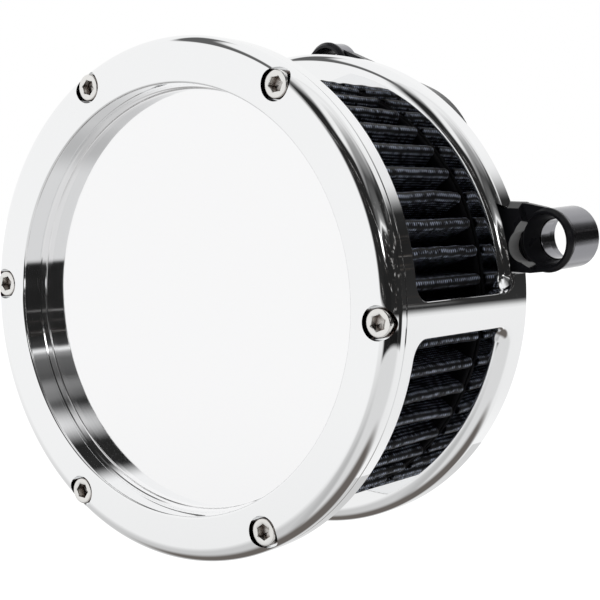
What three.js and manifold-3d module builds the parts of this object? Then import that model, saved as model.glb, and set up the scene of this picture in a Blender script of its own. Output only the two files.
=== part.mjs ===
// Round motorcycle air filter: a chrome cage with a screwed-on cover ring and cover plate, a pleated element
// inside it, and a black backing plate whose two breather eyes bolt to the engine beside the throttle body.
//
// Units are millimetres, +Z up. The filter's axis is the Y axis and the front faces -Y. The origin is the
// centre of the cover plate's front face. Depths (d) are counted back from the cover ring's front face.
import * as THREE from "three";
import { mergeVertices } from "three/addons/utils/BufferGeometryUtils.js";
import Module from "manifold-3d";

const wasm = await Module();
wasm.setup();

// ---- driving dimensions ----
const BODY_R = 90; // outside radius of cover ring and cage
const SEAM_D = 7.5; // back of the cover ring, front of the cage
const BODY_D = 87; // back of the cage
const RIM_ROUND = 5.5; // round on the outer edges of the cover ring and of the cage's rear ring

const COVER_BORE_R = 73.7; // bore of the cover ring, through which the plate shows
const PLATE_FACE_D = 10.4; // the plate's sunk front face
const PLATE_POCKET_R = 72.6;
const PLATE_R = 80.2;
const PLATE_BACK_D = 12.9;

const SCREW_CIRCLE_R = 84;
const SCREW_COUNT = 6;
const HEAD_R = 4.76; // quarter-inch socket head
const HEAD_H = 4.6;
const HEX_FLATS = 4.76;
const COUNTERBORE_R = 5.56; // seven-sixteenths counterbore
const COUNTERBORE_D = 5.2;
const SHANK_R = 2.5; // screws are drawn at the root of their thread
const CLEARANCE = 0.3;

const CAGE_BORE_R = 80.6; // front opening, which the element passes through
const WINDOW_FRONT_D = 13.6;
const FLOOR_D = 73.8; // polished floor the element seats on
const FLOOR_T = 6;
const SHELL_BORE_R = 84.5; // inside of the struts and of the rear ring
const STRUT_COUNT = 3;
const STRUT_WIDTH = 11.8;
const WINDOW_CORNER_R = 7;
const FLOOR_HOLE_R = 46;

const PLEAT_COUNT = 50;
const PLEAT_TIP_R = 79.4;
const PLEAT_ROOT_R = 61.5;
const PLEAT_SHEET = 3; // radial thickness of the folded sheet
const CAP_BORE_R = 58;
const FRONT_CAP = { d: 13.1, height: 5.4, radius: 80.2 };
const REAR_CAP = { d: 71, height: 2.6, radius: 79 };
const SCREEN_R = 60.8;
const SCREEN_T = 0.8;

const PLATE_BACK_R = 84.1; // backing plate disc inside the cage's rear ring
const BORE_R = 25.5; // intake bore
const BELL_R = 18; // radius of the bell mouth
const BOSS_R = 43;
const BOSS_BACK_D = 98;
const THROTTLE_BOLT_R = 35;
const THROTTLE_HEAD_H = 6.35;
const THROTTLE_HEAD_BACK_D = 88;
const CAGE_SCREW_R = 66;
const CAGE_SCREW = { headR: 3.9, headH: 3.4, shankR: 2, length: 7.4, flats: 3.2, seatD: 83.5 };
const GASKET_T = 1.5;
const BRACKET_D = 91.1; // flat bracket behind the disc, which carries the top eye
const BRACKET_BACK_D = 96.1;
const LOBE_R = 34.2; // round edge of the bracket between the two eyes, its centre off the filter's axis
const LOBE_CENTRE = { radius: 54.5, degrees: 58.4 };

const ARM_LOW = 12.5; // bottom and top of the right arm
const ARM_HIGH = 36.9;
const ARM_INNER_X = 75.4; // inner end of the cage's notch
const BLOCK_R = 94.2; // outer edge of the right arm's block
const BLOCK_D = 81.5;
const BLOCK_BACK_D = 98;
const POCKET = [90.4, 21.9];
const POCKET_R = 6;
const POCKET_BACK_D = 88.8;
const NOTCH_D = 76.5; // front of the notch in the cage's rear ring
const NOTCH_TOP = [ // its top edge, [depth, z]
  [70, 36.3],
  [NOTCH_D, 36.3],
  [81.6, 35],
  [87.3, 37.6],
  [110, 37.6],
];
const LINK_D = 85.6; // front of the flat link between the block and the eye
const LINK_BACK_D = 90.6;

const EYE_R = 11.4;
const EYE_FRONT = -2.8; // the eye's own depths are counted along its axis from its centre
const RIM_BACK = -0.7; // back of the boss's rim, front of the sleeve
const NOSE_R = 8.9;
const NOSE_BACK = 4;
const EYE_BORE_R = 7.3;
const SLEEVE_R = 10.9;
const SLEEVE_BORE_R = 7;
const SLEEVE_STEP = 9;
// each eye: its centre's [x, z] and depth, how far its axis leans outwards and upwards in degrees, how far in
// front of it the backing plate is cleared, and where its sleeve ends
const EYE_RIGHT = { at: [96.9, 24.15], d: 88, lean: [11.9, 4.7], clear: 20, sleeveBack: 13.9 };
const EYE_TOP = { at: [-3, 84.45], d: 93.5, lean: [11.9, 4.7], clear: 5.5, sleeveBack: 5.5 };

const ROUND_SIDES = 72; // segments round the big turned parts
const SMALL_SIDES = 24;

// ---- materials ----
const finish = (color, roughness, metalness) => new THREE.MeshStandardMaterial({ color, roughness, metalness });
const chrome = finish(0xe8eaec, 0.06, 1);
const satin = finish(0xe4e5e6, 0.3, 1);
const steel = finish(0xc9c8c4, 0.22, 1);
const anodised = finish(0x131317, 0.32, 0.7);
const gauze = finish(0x17181d, 0.85, 0.1);
const urethane = finish(0x0b0b0c, 0.6, 0);
const rubber = finish(0x111111, 0.7, 0);

// ---- geometry helpers ----
const y = (d) => d - PLATE_FACE_D; // depth to row coordinate
const DEG = Math.PI / 180;

function solid(geometry) {
  const bare = geometry.index ? geometry.toNonIndexed() : geometry.clone();
  bare.deleteAttribute("normal");
  bare.deleteAttribute("uv");
  const merged = mergeVertices(bare, 1e-4);
  return new wasm.Manifold(
    new wasm.Mesh({
      numProp: 3,
      vertProperties: new Float32Array(merged.attributes.position.array),
      triVerts: new Uint32Array(merged.index.array),
    }),
  );
}

function geometryOf(made) {
  const mesh = made.getMesh();
  const geometry = new THREE.BufferGeometry();
  geometry.setAttribute("position", new THREE.BufferAttribute(new Float32Array(mesh.vertProperties), 3));
  geometry.setIndex(new THREE.BufferAttribute(new Uint32Array(mesh.triVerts), 1));
  return geometry;
}

// A solid turned about the Y axis from a [radius, depth] profile. The profile is a closed loop, or starts and ends
// on the axis.
function turned(profile, sides = ROUND_SIDES) {
  const points = profile.map(([r, d]) => new THREE.Vector2(r, y(d)));
  if (THREE.ShapeUtils.area(points) < 0) points.reverse();
  if (points[0].x > 0 || points.at(-1).x > 0) points.push(points[0]);
  return solid(new THREE.LatheGeometry(points, sides));
}

// A round bar along the Y axis at [x, z].
function bar([x, z], radius, d0, d1, sides = SMALL_SIDES) {
  const made = new THREE.CylinderGeometry(radius, radius, d1 - d0, sides);
  return solid(made.translate(x, y((d0 + d1) / 2), z));
}

// A shape drawn in X and Z, as deep as d0 to d1.
function plate(shape, d0, d1, curveSegments = 8) {
  const made = new THREE.ExtrudeGeometry(shape, { depth: d1 - d0, bevelEnabled: false, curveSegments });
  return solid(made.rotateX(Math.PI / 2).translate(0, y(d1), 0));
}

const onCircle = (radius, degrees) => [radius * Math.cos(degrees * DEG), radius * Math.sin(degrees * DEG)];

// Points of an arc in a profile, from one angle to another.
function arc([r0, d0], radius, from, to, steps) {
  return Array.from({ length: steps + 1 }, (_, i) => {
    const t = (from + ((to - from) * i) / steps) * DEG;
    return [r0 + radius * Math.cos(t), d0 + radius * Math.sin(t)];
  });
}

const object = new THREE.Group();
object.name = "air_filter";

function add(name, geometry, material, group = object) {
  const mesh = new THREE.Mesh(geometry, material);
  mesh.name = name;
  group.add(mesh);
  return mesh;
}

// ---- socket head cap screw: head front at y = 0, shank towards +Y ----
function screwGeometry(headRadius, headHeight, shankRadius, length, hexFlats) {
  const head = new THREE.CylinderGeometry(headRadius, headRadius, headHeight, SMALL_SIDES);
  const shank = new THREE.CylinderGeometry(shankRadius, shankRadius, length, 12);
  const hex = new THREE.CylinderGeometry(hexFlats / Math.sqrt(3), hexFlats / Math.sqrt(3), headHeight, 6);
  const body = solid(head.translate(0, headHeight / 2, 0)).add(
    solid(shank.translate(0, headHeight + length / 2 - 0.01, 0)),
  );
  return geometryOf(body.subtract(solid(hex)));
}

function addScrew(name, geometry, [x, z], headFrontD, facesBack = false) {
  const screw = add(name, geometry, steel);
  screw.position.set(x, y(headFrontD), z);
  if (facesBack) screw.rotation.z = Math.PI;
  return screw;
}

// ---- cover ring ----
const screwSpots = Array.from({ length: SCREW_COUNT }, (_, i) =>
  onCircle(SCREW_CIRCLE_R, (i * 360) / SCREW_COUNT)
);

function coverRing() {
  const edge = 0.5;
  let ring = turned([
    [COVER_BORE_R, SEAM_D],
    [COVER_BORE_R, edge],
    [COVER_BORE_R + edge, 0],
    ...arc([BODY_R - RIM_ROUND, RIM_ROUND], RIM_ROUND, -90, 0, 6),
    [BODY_R, SEAM_D - edge],
    [BODY_R - edge, SEAM_D],
  ]);
  for (const spot of screwSpots) {
    ring = ring.subtract(bar(spot, COUNTERBORE_R, -1, COUNTERBORE_D));
    ring = ring.subtract(bar(spot, SHANK_R + CLEARANCE, -1, SEAM_D + 1, 12));
  }
  return geometryOf(ring);
}

// ---- cover plate: a sunk disc clamped between the ring and the cage ----
function coverPlate() {
  return geometryOf(
    turned([
      [0, PLATE_FACE_D],
      [PLATE_POCKET_R, PLATE_FACE_D],
      [PLATE_POCKET_R, SEAM_D],
      [PLATE_R, SEAM_D],
      [PLATE_R, PLATE_BACK_D],
      [0, PLATE_BACK_D],
    ]),
  );
}

// ---- cage ----
// One window between two struts, middle towards +X: its sides are parallel to the struts, its corners round.
function windowCutter() {
  const half = 180 / STRUT_COUNT;
  const back = FLOOR_D + RIM_ROUND;
  const [sideX, sideZ] = onCircle(BODY_R + 12, half);
  const shiftX = (STRUT_WIDTH / 2) * Math.sin(half * DEG);
  const shiftZ = (STRUT_WIDTH / 2) * Math.cos(half * DEG);
  const sector = new THREE.Shape();
  sector.moveTo(STRUT_WIDTH / 2 / Math.sin(half * DEG), 0);
  sector.lineTo(sideX + shiftX, sideZ - shiftZ);
  sector.lineTo((BODY_R + 12) * 1.3, 0);
  sector.lineTo(sideX + shiftX, shiftZ - sideZ);
  sector.closePath();
  const front = cornerFillet(half);
  const rear = front.mirror([0, 1, 0]).translate([0, y(WINDOW_FRONT_D) + y(back), 0]);
  let cutter = plate(sector, WINDOW_FRONT_D, back);
  for (const fillet of [front, rear]) {
    cutter = cutter.subtract(fillet).subtract(fillet.mirror([0, 0, 1]));
  }
  return cutter;
}

// The metal left in a window's front corner by a round milling cutter: a bar with a concave quarter round, lying
// along the strut.
function cornerFillet(half) {
  const size = WINDOW_CORNER_R;
  const shape = new THREE.Shape();
  shape.moveTo(-0.5, -0.5);
  shape.lineTo(-0.5, size);
  shape.lineTo(0, size);
  shape.absarc(size, size, size, Math.PI, Math.PI * 1.5, false);
  shape.lineTo(size, -0.5);
  shape.closePath();
  const corner = new THREE.ExtrudeGeometry(shape, { depth: 60, bevelEnabled: false, curveSegments: 6 });
  const across = new THREE.Vector3(Math.sin(half * DEG), 0, -Math.cos(half * DEG));
  const back = new THREE.Vector3(0, 1, 0);
  const outward = new THREE.Vector3(Math.cos(half * DEG), 0, Math.sin(half * DEG));
  const start = outward.clone().multiplyScalar(50).addScaledVector(across, STRUT_WIDTH / 2);
  start.y = y(WINDOW_FRONT_D);
  const place = new THREE.Matrix4().makeBasis(across, back, outward).setPosition(start);
  return solid(corner.applyMatrix4(place));
}

function cage() {
  const edge = 0.5;
  let shell = turned([
    [CAGE_BORE_R, SEAM_D],
    [BODY_R - edge, SEAM_D],
    [BODY_R, SEAM_D + edge],
    [BODY_R, FLOOR_D + RIM_ROUND + 1],
    [SHELL_BORE_R, FLOOR_D + RIM_ROUND + 1],
    [SHELL_BORE_R, WINDOW_FRONT_D + 3],
    [CAGE_BORE_R, WINDOW_FRONT_D],
  ]);
  const cutter = windowCutter();
  for (let i = 0; i < STRUT_COUNT; i++) {
    shell = shell.subtract(cutter.rotate([0, ((i + 0.5) * 360) / STRUT_COUNT, 0]));
  }
  const rear = turned([
    [FLOOR_HOLE_R, FLOOR_D],
    ...arc([SHELL_BORE_R, FLOOR_D + RIM_ROUND], RIM_ROUND, -90, 0, 6),
    [BODY_R, BODY_D],
    [SHELL_BORE_R, BODY_D],
    [SHELL_BORE_R, FLOOR_D + FLOOR_T],
    [FLOOR_HOLE_R, FLOOR_D + FLOOR_T],
  ]);
  let made = shell.add(rear);
  for (const spot of screwSpots) {
    made = made.subtract(bar(spot, SHANK_R + CLEARANCE, SEAM_D - 1, WINDOW_FRONT_D + 1, 12));
  }
  for (const spot of cageScrewSpots) {
    made = made.subtract(bar(spot, CAGE_SCREW.shankR + CLEARANCE, FLOOR_D + 2, BODY_D, 12));
  }
  return geometryOf(made.subtract(armNotch()));
}

// A solid drawn in depth and Z, between x0 and x1.
function sidePlate(points, x0, x1) {
  const shape = new THREE.Shape(points.map(([d, z]) => new THREE.Vector2(y(d), z)));
  const made = new THREE.ExtrudeGeometry(shape, { depth: x1 - x0, bevelEnabled: false });
  const axes = [new THREE.Vector3(0, 1, 0), new THREE.Vector3(0, 0, 1), new THREE.Vector3(1, 0, 0)];
  return solid(made.applyMatrix4(new THREE.Matrix4().makeBasis(...axes).setPosition(x0, 0, 0)));
}

// Slot in the rear ring for the right breather arm, open to the back, its top edge cut on two slopes.
function armNotch() {
  const low = ARM_LOW - CLEARANCE;
  const top = NOTCH_TOP.slice(1);
  return sidePlate([[NOTCH_D, low], [110, low], ...top.reverse()], ARM_INNER_X - CLEARANCE, BODY_R + 6);
}

// ---- filter element ----
function pleats() {
  const ring = (tip, root) =>
    Array.from({ length: PLEAT_COUNT * 2 }, (_, i) => {
      const [x, z] = onCircle(i % 2 ? root : tip, (i * 180) / PLEAT_COUNT);
      return new THREE.Vector2(x, z);
    });
  const sheet = new THREE.Shape(ring(PLEAT_TIP_R, PLEAT_ROOT_R + PLEAT_SHEET));
  sheet.holes.push(new THREE.Path(ring(PLEAT_TIP_R - PLEAT_SHEET, PLEAT_ROOT_R)));
  return geometryOf(plate(sheet, FRONT_CAP.d + FRONT_CAP.height, REAR_CAP.d));
}

function endCap({ d, height, radius }) {
  const edge = 0.8;
  return geometryOf(
    turned([
      [CAP_BORE_R, d],
      [radius - edge, d],
      [radius, d + edge],
      [radius, d + height - edge],
      [radius - edge, d + height],
      [CAP_BORE_R, d + height],
    ]),
  );
}

function innerScreen() {
  const front = FRONT_CAP.d + FRONT_CAP.height;
  const profile = [
    [SCREEN_R - SCREEN_T, front],
    [SCREEN_R, front],
    [SCREEN_R, REAR_CAP.d],
    [SCREEN_R - SCREEN_T, REAR_CAP.d],
  ];
  return geometryOf(turned(profile, 48));
}

// ---- backing plate with bell mouth, boss, arms and eyes ----
const throttleSpots = [90, 210, 330].map((a) => onCircle(THROTTLE_BOLT_R, a));
const cageScrewSpots = [-54, 0, 126, 180, 234].map((a) => onCircle(CAGE_SCREW_R, a));

// The disc that closes the cage's back, with the bell mouth in front and the throttle boss behind.
function hub() {
  const seat = FLOOR_D + FLOOR_T + 0.1;
  const lip = FLOOR_D + 0.2;
  return turned([
    [BORE_R, lip + BELL_R],
    ...arc([BORE_R + BELL_R, lip + BELL_R], BELL_R, 180, 270, 6).slice(1),
    [FLOOR_HOLE_R - CLEARANCE, lip],
    [FLOOR_HOLE_R - CLEARANCE, seat],
    [PLATE_BACK_R, seat],
    [PLATE_BACK_R, BODY_D + CLEARANCE],
    [BOSS_R + 6, BODY_D + CLEARANCE + 2],
    [BOSS_R, BODY_D + CLEARANCE + 6],
    [BOSS_R, BOSS_BACK_D],
    [BORE_R, BOSS_BACK_D],
  ]);
}

// A flat bracket with one round edge, drawn out into the top eye.
function bracket() {
  const centre = onCircle(LOBE_CENTRE.radius, LOBE_CENTRE.degrees);
  const lobe = bar(centre, LOBE_R, BRACKET_D, BRACKET_BACK_D, 72);
  const eye = bar(EYE_TOP.at, EYE_R - 1, BRACKET_D, BRACKET_BACK_D, 48);
  const hubRoom = bar([0, 0], BOSS_R - 2, BRACKET_D - 1, BRACKET_BACK_D + 1, 48);
  return wasm.Manifold.hull([lobe, eye]).subtract(hubRoom);
}

function backingPlate() {
  let made = hub().add(bracket()).add(rightArm());
  for (const eye of [EYE_RIGHT, EYE_TOP]) made = withEye(made, eye);
  for (const spot of throttleSpots) {
    made = made.subtract(bar(spot, COUNTERBORE_R, FLOOR_D - 1, THROTTLE_HEAD_BACK_D));
    made = made.subtract(bar(spot, SHANK_R + CLEARANCE, FLOOR_D, BOSS_BACK_D + 1, 12));
  }
  for (const spot of cageScrewSpots) {
    made = made.subtract(bar(spot, CAGE_SCREW.headR + CLEARANCE, CAGE_SCREW.seatD, BRACKET_BACK_D + 1));
    made = made.subtract(bar(spot, CAGE_SCREW.shankR + CLEARANCE, FLOOR_D + FLOOR_T, BRACKET_BACK_D, 12));
  }
  return geometryOf(made);
}

// Moves a solid made about the Y axis, with its y = 0 at the centre of an eye, onto the eye's axis.
function eyeFrame({ at: [x, z], d, lean: [out, up] }) {
  const turn = new THREE.Euler(up * DEG, 0, -out * DEG, "ZYX");
  return new THREE.Matrix4().makeRotationFromEuler(turn).setPosition(x, y(d), z);
}

const eyeTurned = (profile) => turned(profile.map(([r, s]) => [r, s + PLATE_FACE_D]), 36);
const eyeCylinder = (radius, s0, s1) => bar([0, 0], radius, s0 + PLATE_FACE_D, s1 + PLATE_FACE_D, 36);

// The eye's boss: a bevelled rim in front and a conical mouth that runs back into the sleeve.
function boss() {
  const edge = 1.2;
  return eyeTurned([
    [NOSE_R + 0.4, EYE_FRONT],
    [EYE_R - edge, EYE_FRONT],
    [EYE_R, EYE_FRONT + edge],
    [EYE_R, RIM_BACK],
    [NOSE_R, RIM_BACK],
    [NOSE_R, NOSE_BACK],
    [EYE_BORE_R, NOSE_BACK],
  ]);
}

// Clears the boss's mouth and the sleeve's place, then adds the boss.
function withEye(made, eye) {
  const frame = eyeFrame(eye).elements;
  const through = eyeCylinder(NOSE_R + 0.6, -eye.clear, 20);
  const behind = eyeCylinder(SLEEVE_R + CLEARANCE, RIM_BACK, 25);
  const room = through.add(behind);
  return made.subtract(room.transform(frame)).add(boss().transform(frame));
}

// The right arm: a block that fills the cage's notch, its outer edge round the filter's axis, then a flat link
// that runs on to the eye. A round pocket runs off the block's edge.
function rightArm() {
  const outline = new THREE.Shape();
  outline.moveTo(70, ARM_HIGH);
  outline.lineTo(70, ARM_LOW);
  outline.absarc(0, 0, BLOCK_R, Math.asin(ARM_LOW / BLOCK_R), Math.asin(ARM_HIGH / BLOCK_R), false);
  outline.closePath();
  const link = new THREE.Shape();
  link.moveTo(72, ARM_LOW);
  link.lineTo(89.5, ARM_LOW);
  link.absarc(...EYE_RIGHT.at, EYE_R - 0.4, -Math.PI / 2 - 0.1, Math.PI / 2 + 0.1, false);
  link.lineTo(86, ARM_HIGH);
  link.lineTo(72, ARM_HIGH);
  link.closePath();
  const behindEye = eyeCylinder(20, 2, 40).transform(eyeFrame(EYE_RIGHT).elements);
  const top = NOTCH_TOP.map(([d, z]) => [d, z - CLEARANCE]);
  const above = sidePlate([...top, [110, 50], [70, 50]], 60, 120);
  const block = plate(outline, BLOCK_D, BLOCK_BACK_D).subtract(behindEye);
  const pocket = bar(POCKET, POCKET_R, 70, POCKET_BACK_D);
  return block.add(plate(link, LINK_D, LINK_BACK_D, 16)).subtract(above).subtract(pocket);
}

function breatherSleeve({ sleeveBack }) {
  const front = RIM_BACK + 0.1;
  const nose = NOSE_BACK + CLEARANCE;
  const profile = [[NOSE_R + CLEARANCE, front], [SLEEVE_R, front], [SLEEVE_R, sleeveBack]];
  if (sleeveBack > SLEEVE_STEP) {
    profile.push([SLEEVE_BORE_R + 1.5, sleeveBack]);
    profile.push([SLEEVE_BORE_R + 1.5, SLEEVE_STEP]);
    profile.push([SLEEVE_BORE_R, SLEEVE_STEP]);
  } else {
    profile.push([SLEEVE_BORE_R, sleeveBack]);
  }
  profile.push([SLEEVE_BORE_R, nose], [NOSE_R + CLEARANCE, nose]);
  return geometryOf(eyeTurned(profile));
}

function intakeGasket() {
  const front = BOSS_BACK_D + 0.05;
  const back = BOSS_BACK_D + GASKET_T;
  let made = turned([[BORE_R + 1, front], [BOSS_R - 1, front], [BOSS_R - 1, back], [BORE_R + 1, back]]);
  for (const spot of throttleSpots) {
    made = made.subtract(bar(spot, SHANK_R + CLEARANCE, BOSS_BACK_D - 1, BOSS_BACK_D + 3, 12));
  }
  return geometryOf(made);
}

// ---- assembly ----
add("cover_ring", coverRing(), chrome);
add("cover_plate", coverPlate(), satin);
const coverScrew = screwGeometry(HEAD_R, HEAD_H, SHANK_R, 7.6, HEX_FLATS);
screwSpots.forEach((spot, i) => addScrew(`cover_screw_${i + 1}`, coverScrew, spot, COUNTERBORE_D - HEAD_H));

add("cage", cage(), chrome);
add("filter_pleats", pleats(), gauze);
add("filter_front_cap", endCap(FRONT_CAP), urethane);
add("filter_rear_cap", endCap(REAR_CAP), urethane);
add("filter_inner_screen", innerScreen(), steel);

add("backing_plate", backingPlate(), anodised);
add("intake_gasket", intakeGasket(), rubber);
const throttleBolt = screwGeometry(HEAD_R, THROTTLE_HEAD_H, SHANK_R, 9, HEX_FLATS);
const throttleHeadD = THROTTLE_HEAD_BACK_D - THROTTLE_HEAD_H;
throttleSpots.forEach((spot, i) => addScrew(`throttle_bolt_${i + 1}`, throttleBolt, spot, throttleHeadD));
const { headR, headH, shankR, length, flats, seatD } = CAGE_SCREW;
const cageScrew = screwGeometry(headR, headH, shankR, length, flats);
cageScrewSpots.forEach((spot, i) => addScrew(`cage_screw_${i + 1}`, cageScrew, spot, seatD + headH, true));
add("breather_sleeve_right", breatherSleeve(EYE_RIGHT), satin).applyMatrix4(eyeFrame(EYE_RIGHT));
add("breather_sleeve_top", breatherSleeve(EYE_TOP), satin).applyMatrix4(eyeFrame(EYE_TOP));

export default object;
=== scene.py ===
import math

import bmesh
import bpy
import numpy as np
from mathutils import Matrix, Vector


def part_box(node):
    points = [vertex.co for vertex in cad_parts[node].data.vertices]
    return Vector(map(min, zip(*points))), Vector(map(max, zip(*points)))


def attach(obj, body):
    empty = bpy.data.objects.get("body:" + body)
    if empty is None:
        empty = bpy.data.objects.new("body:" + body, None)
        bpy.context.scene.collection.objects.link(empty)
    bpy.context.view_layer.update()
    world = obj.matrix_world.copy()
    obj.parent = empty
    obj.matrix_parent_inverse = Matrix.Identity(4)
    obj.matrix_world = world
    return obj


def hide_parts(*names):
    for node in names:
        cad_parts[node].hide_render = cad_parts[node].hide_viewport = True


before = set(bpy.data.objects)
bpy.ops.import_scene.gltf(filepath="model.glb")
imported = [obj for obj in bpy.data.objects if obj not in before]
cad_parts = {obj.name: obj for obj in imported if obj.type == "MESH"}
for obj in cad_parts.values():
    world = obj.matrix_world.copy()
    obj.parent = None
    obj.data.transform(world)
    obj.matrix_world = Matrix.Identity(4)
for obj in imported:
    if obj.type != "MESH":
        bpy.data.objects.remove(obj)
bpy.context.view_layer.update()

MM = 0.001
DEG = math.pi / 180

# ---- dimensions, in millimetres, taken from the frame where it has them ----
# Names in _D are depths behind the cover ring's face. Names in _R are radii about the filter's axis or a part's own.
PLATE_D = -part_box("cover_ring")[0].y / MM  # the frame's y is 0 at the cover plate, this deep behind the ring's face
BODY_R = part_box("cage")[1].x / MM
BODY_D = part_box("cage")[1].y / MM + PLATE_D
SEAM_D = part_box("cage")[0].y / MM + PLATE_D
RIM = 5.5  # the round at the cover ring's front and at the cage's rear
COVER_BORE_R = 73.7
BORE_EDGE = 0.9  # the round at the cover ring's bore
SCREW_R = 84.0
HOLE_R = 5.56
HOLE_D = 5.2
HEAD_D = 0.6
PLATE_POCKET_R = 72.7
PLATE_R = 80.2
PLATE_BACK_D = 12.9
SHELL_R = 84.5
FRONT_BORE_R = 80.6
WINDOW_D = 13.6
FLOOR_D = 73.8
FLOOR_BACK_D = 79.8
FLOOR_HOLE_R = 46.0
FLOOR_EDGE_R = 78.0
CORNER_R = 6.5  # a window's corners
LIP = 0.4  # the round along a strut's edges
STRUTS = 3
STRUT_HALF_DEG = 3.75
BEHIND_D = 110  # behind everything
NOTCH_D = 76.5
# the top edge of the cage's notch for the arm: (depth, z)
NOTCH_TOP = [(70, 36.3), (NOTCH_D, 36.3), (81.6, 35.0), (87.3, 37.6), (BEHIND_D, 37.6)]


def depth(d):
    return (d - PLATE_D) * MM


def add_object(name, verts, faces):
    mesh = bpy.data.meshes.new(name)
    mesh.from_pydata([tuple(v) for v in verts], [], faces)
    mesh.validate()
    obj = bpy.data.objects.new(name, mesh)
    bpy.context.scene.collection.objects.link(obj)
    return obj


def weld(obj, distance=2e-6):
    bm = bmesh.new()
    bm.from_mesh(obj.data)
    bmesh.ops.remove_doubles(bm, verts=bm.verts, dist=distance)
    bmesh.ops.dissolve_degenerate(bm, edges=bm.edges, dist=distance)
    bmesh.ops.recalc_face_normals(bm, faces=bm.faces)
    bm.to_mesh(obj.data)
    bm.free()


# ---- shading ----
def smooth(obj, angle=30):
    """Smooth shading across edges flatter than an angle in degrees, weighted by the area of the faces."""
    obj.data.shade_smooth()
    bm = bmesh.new()
    bm.from_mesh(obj.data)
    limit = angle * DEG
    for edge in bm.edges:
        edge.smooth = len(edge.link_faces) == 2 and edge.calc_face_angle(0) < limit
    bm.to_mesh(obj.data)
    bm.free()
    modifier = obj.modifiers.new("weighted", "WEIGHTED_NORMAL")
    modifier.keep_sharp = True
    modifier.weight = 50


def exact_normals(obj, surfaces, angle=25):
    """Takes each face's normals from the surface it lies on. Other faces keep the mean of their neighbours."""
    mesh = obj.data
    mesh.shade_smooth()
    count = len(mesh.loops)
    corners = np.zeros(count, np.int64)
    mesh.loops.foreach_get("vertex_index", corners)
    co = np.zeros(len(mesh.vertices) * 3)
    mesh.vertices.foreach_get("co", co)
    co = co.reshape(-1, 3)
    starts = np.array([p.loop_start for p in mesh.polygons])
    totals = np.array([p.loop_total for p in mesh.polygons])
    face_normals = np.array([p.normal for p in mesh.polygons])
    areas = np.array([p.area for p in mesh.polygons])
    face_of = np.repeat(np.arange(len(starts)), totals)
    order = np.concatenate([np.arange(s, s + t) for s, t in zip(starts, totals)])
    loop_face = np.zeros(count, np.int64)
    loop_face[order] = face_of
    normals = face_normals[loop_face]
    at = co[corners]
    # the mean of neighbours within the angle
    by_vertex = {}
    for loop in range(count):
        by_vertex.setdefault(int(corners[loop]), []).append(loop)
    limit = math.cos(angle * DEG)
    for loops in by_vertex.values():
        faces = loop_face[loops]
        n = face_normals[faces]
        close = (n @ n.T) > limit
        mean = (close * areas[faces][None, :]) @ n
        length = np.linalg.norm(mean, axis=1, keepdims=True)
        normals[loops] = mean / np.maximum(length, 1e-12)
    for surface in surfaces:
        wanted, on = surface(at)
        good = on & ((wanted * face_normals[loop_face]).sum(1) > math.cos(12 * DEG))
        # a face counts only if all its corners lie on the surface
        whole = np.ones(len(starts), bool)
        np.logical_and.at(whole, loop_face, good)
        use = whole[loop_face]
        normals[use] = wanted[use]
    mesh.normals_split_custom_set([tuple(n) for n in normals])


def on_cylinder(radius, centre=(0.0, 0.0), outward=1):
    def surface(at):
        x = at[:, 0] - centre[0] * MM
        z = at[:, 2] - centre[1] * MM
        r = np.hypot(x, z)
        n = np.stack([x / np.maximum(r, 1e-9), np.zeros_like(x), z / np.maximum(r, 1e-9)], 1) * outward
        return n, np.abs(r - radius * MM) < 2e-5

    return surface


def on_torus(ring_r, ring_d, radius):
    def surface(at):
        r = np.hypot(at[:, 0], at[:, 2])
        a = r - ring_r * MM
        b = at[:, 1] - depth(ring_d)
        length = np.maximum(np.hypot(a, b), 1e-9)
        radial = a / length
        n = np.stack([at[:, 0] / r * radial, b / length, at[:, 2] / r * radial], 1)
        return n, np.abs(length - radius * MM) < 2e-5

    return surface


def on_plane(d, facing):
    def surface(at):
        n = np.tile(np.array([0.0, facing, 0.0]), (len(at), 1))
        return n, np.abs(at[:, 1] - depth(d)) < 1e-6

    return surface


# ---- turned parts ----
def spread(a, b, n):
    return [a + (b - a) * i / n for i in range(n + 1)]


def arc(centre, radius, start, end, steps):
    points = []
    for a in spread(start, end, steps):
        points.append((centre[0] + radius * math.cos(a * DEG), centre[1] + radius * math.sin(a * DEG)))
    return points


def rounded_corner(before, corner, after, size, steps):
    """The points of a curve that rounds one corner of a profile."""
    p = Vector(corner)
    a = Vector(before) - p
    b = Vector(after) - p
    size = min(size, a.length * 0.45, b.length * 0.45)
    reach = min(size / math.tan(a.angle(b) / 2), a.length * 0.49, b.length * 0.49)
    start = p + a.normalized() * reach
    end = p + b.normalized() * reach
    made = []
    for t in spread(0, 1, steps):
        q = start * (1 - t) ** 2 + p * 2 * t * (1 - t) + end * t ** 2
        made.append((q.x, q.y))
    return made


def lathe(name, profile, centre=(0, 0), segments=360, closed=True):
    """profile holds (radius, depth); a closed one makes a ring, an open one starts and ends on the axis."""
    verts = []
    faces = []
    n = len(profile)
    for k in range(segments):
        a = 2 * math.pi * k / segments
        c, s = math.cos(a), math.sin(a)
        for r, d in profile:
            verts.append(((centre[0] + r * c) * MM, depth(d), (centre[1] + r * s) * MM))
    spans = n if closed else n - 1
    for k in range(segments):
        here = k * n
        there = ((k + 1) % segments) * n
        for i in range(spans):
            j = (i + 1) % n
            faces.append((here + i, here + j, there + j, there + i))
    obj = add_object(name, verts, faces)
    weld(obj)
    return obj


def bar(name, radius, d0, d1, centre=(0, 0), segments=360):
    """A solid round bar between two depths, to cut with."""
    return lathe(name, [(0, d0), (radius, d0), (radius, d1), (0, d1)], centre, segments, closed=False)


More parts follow.
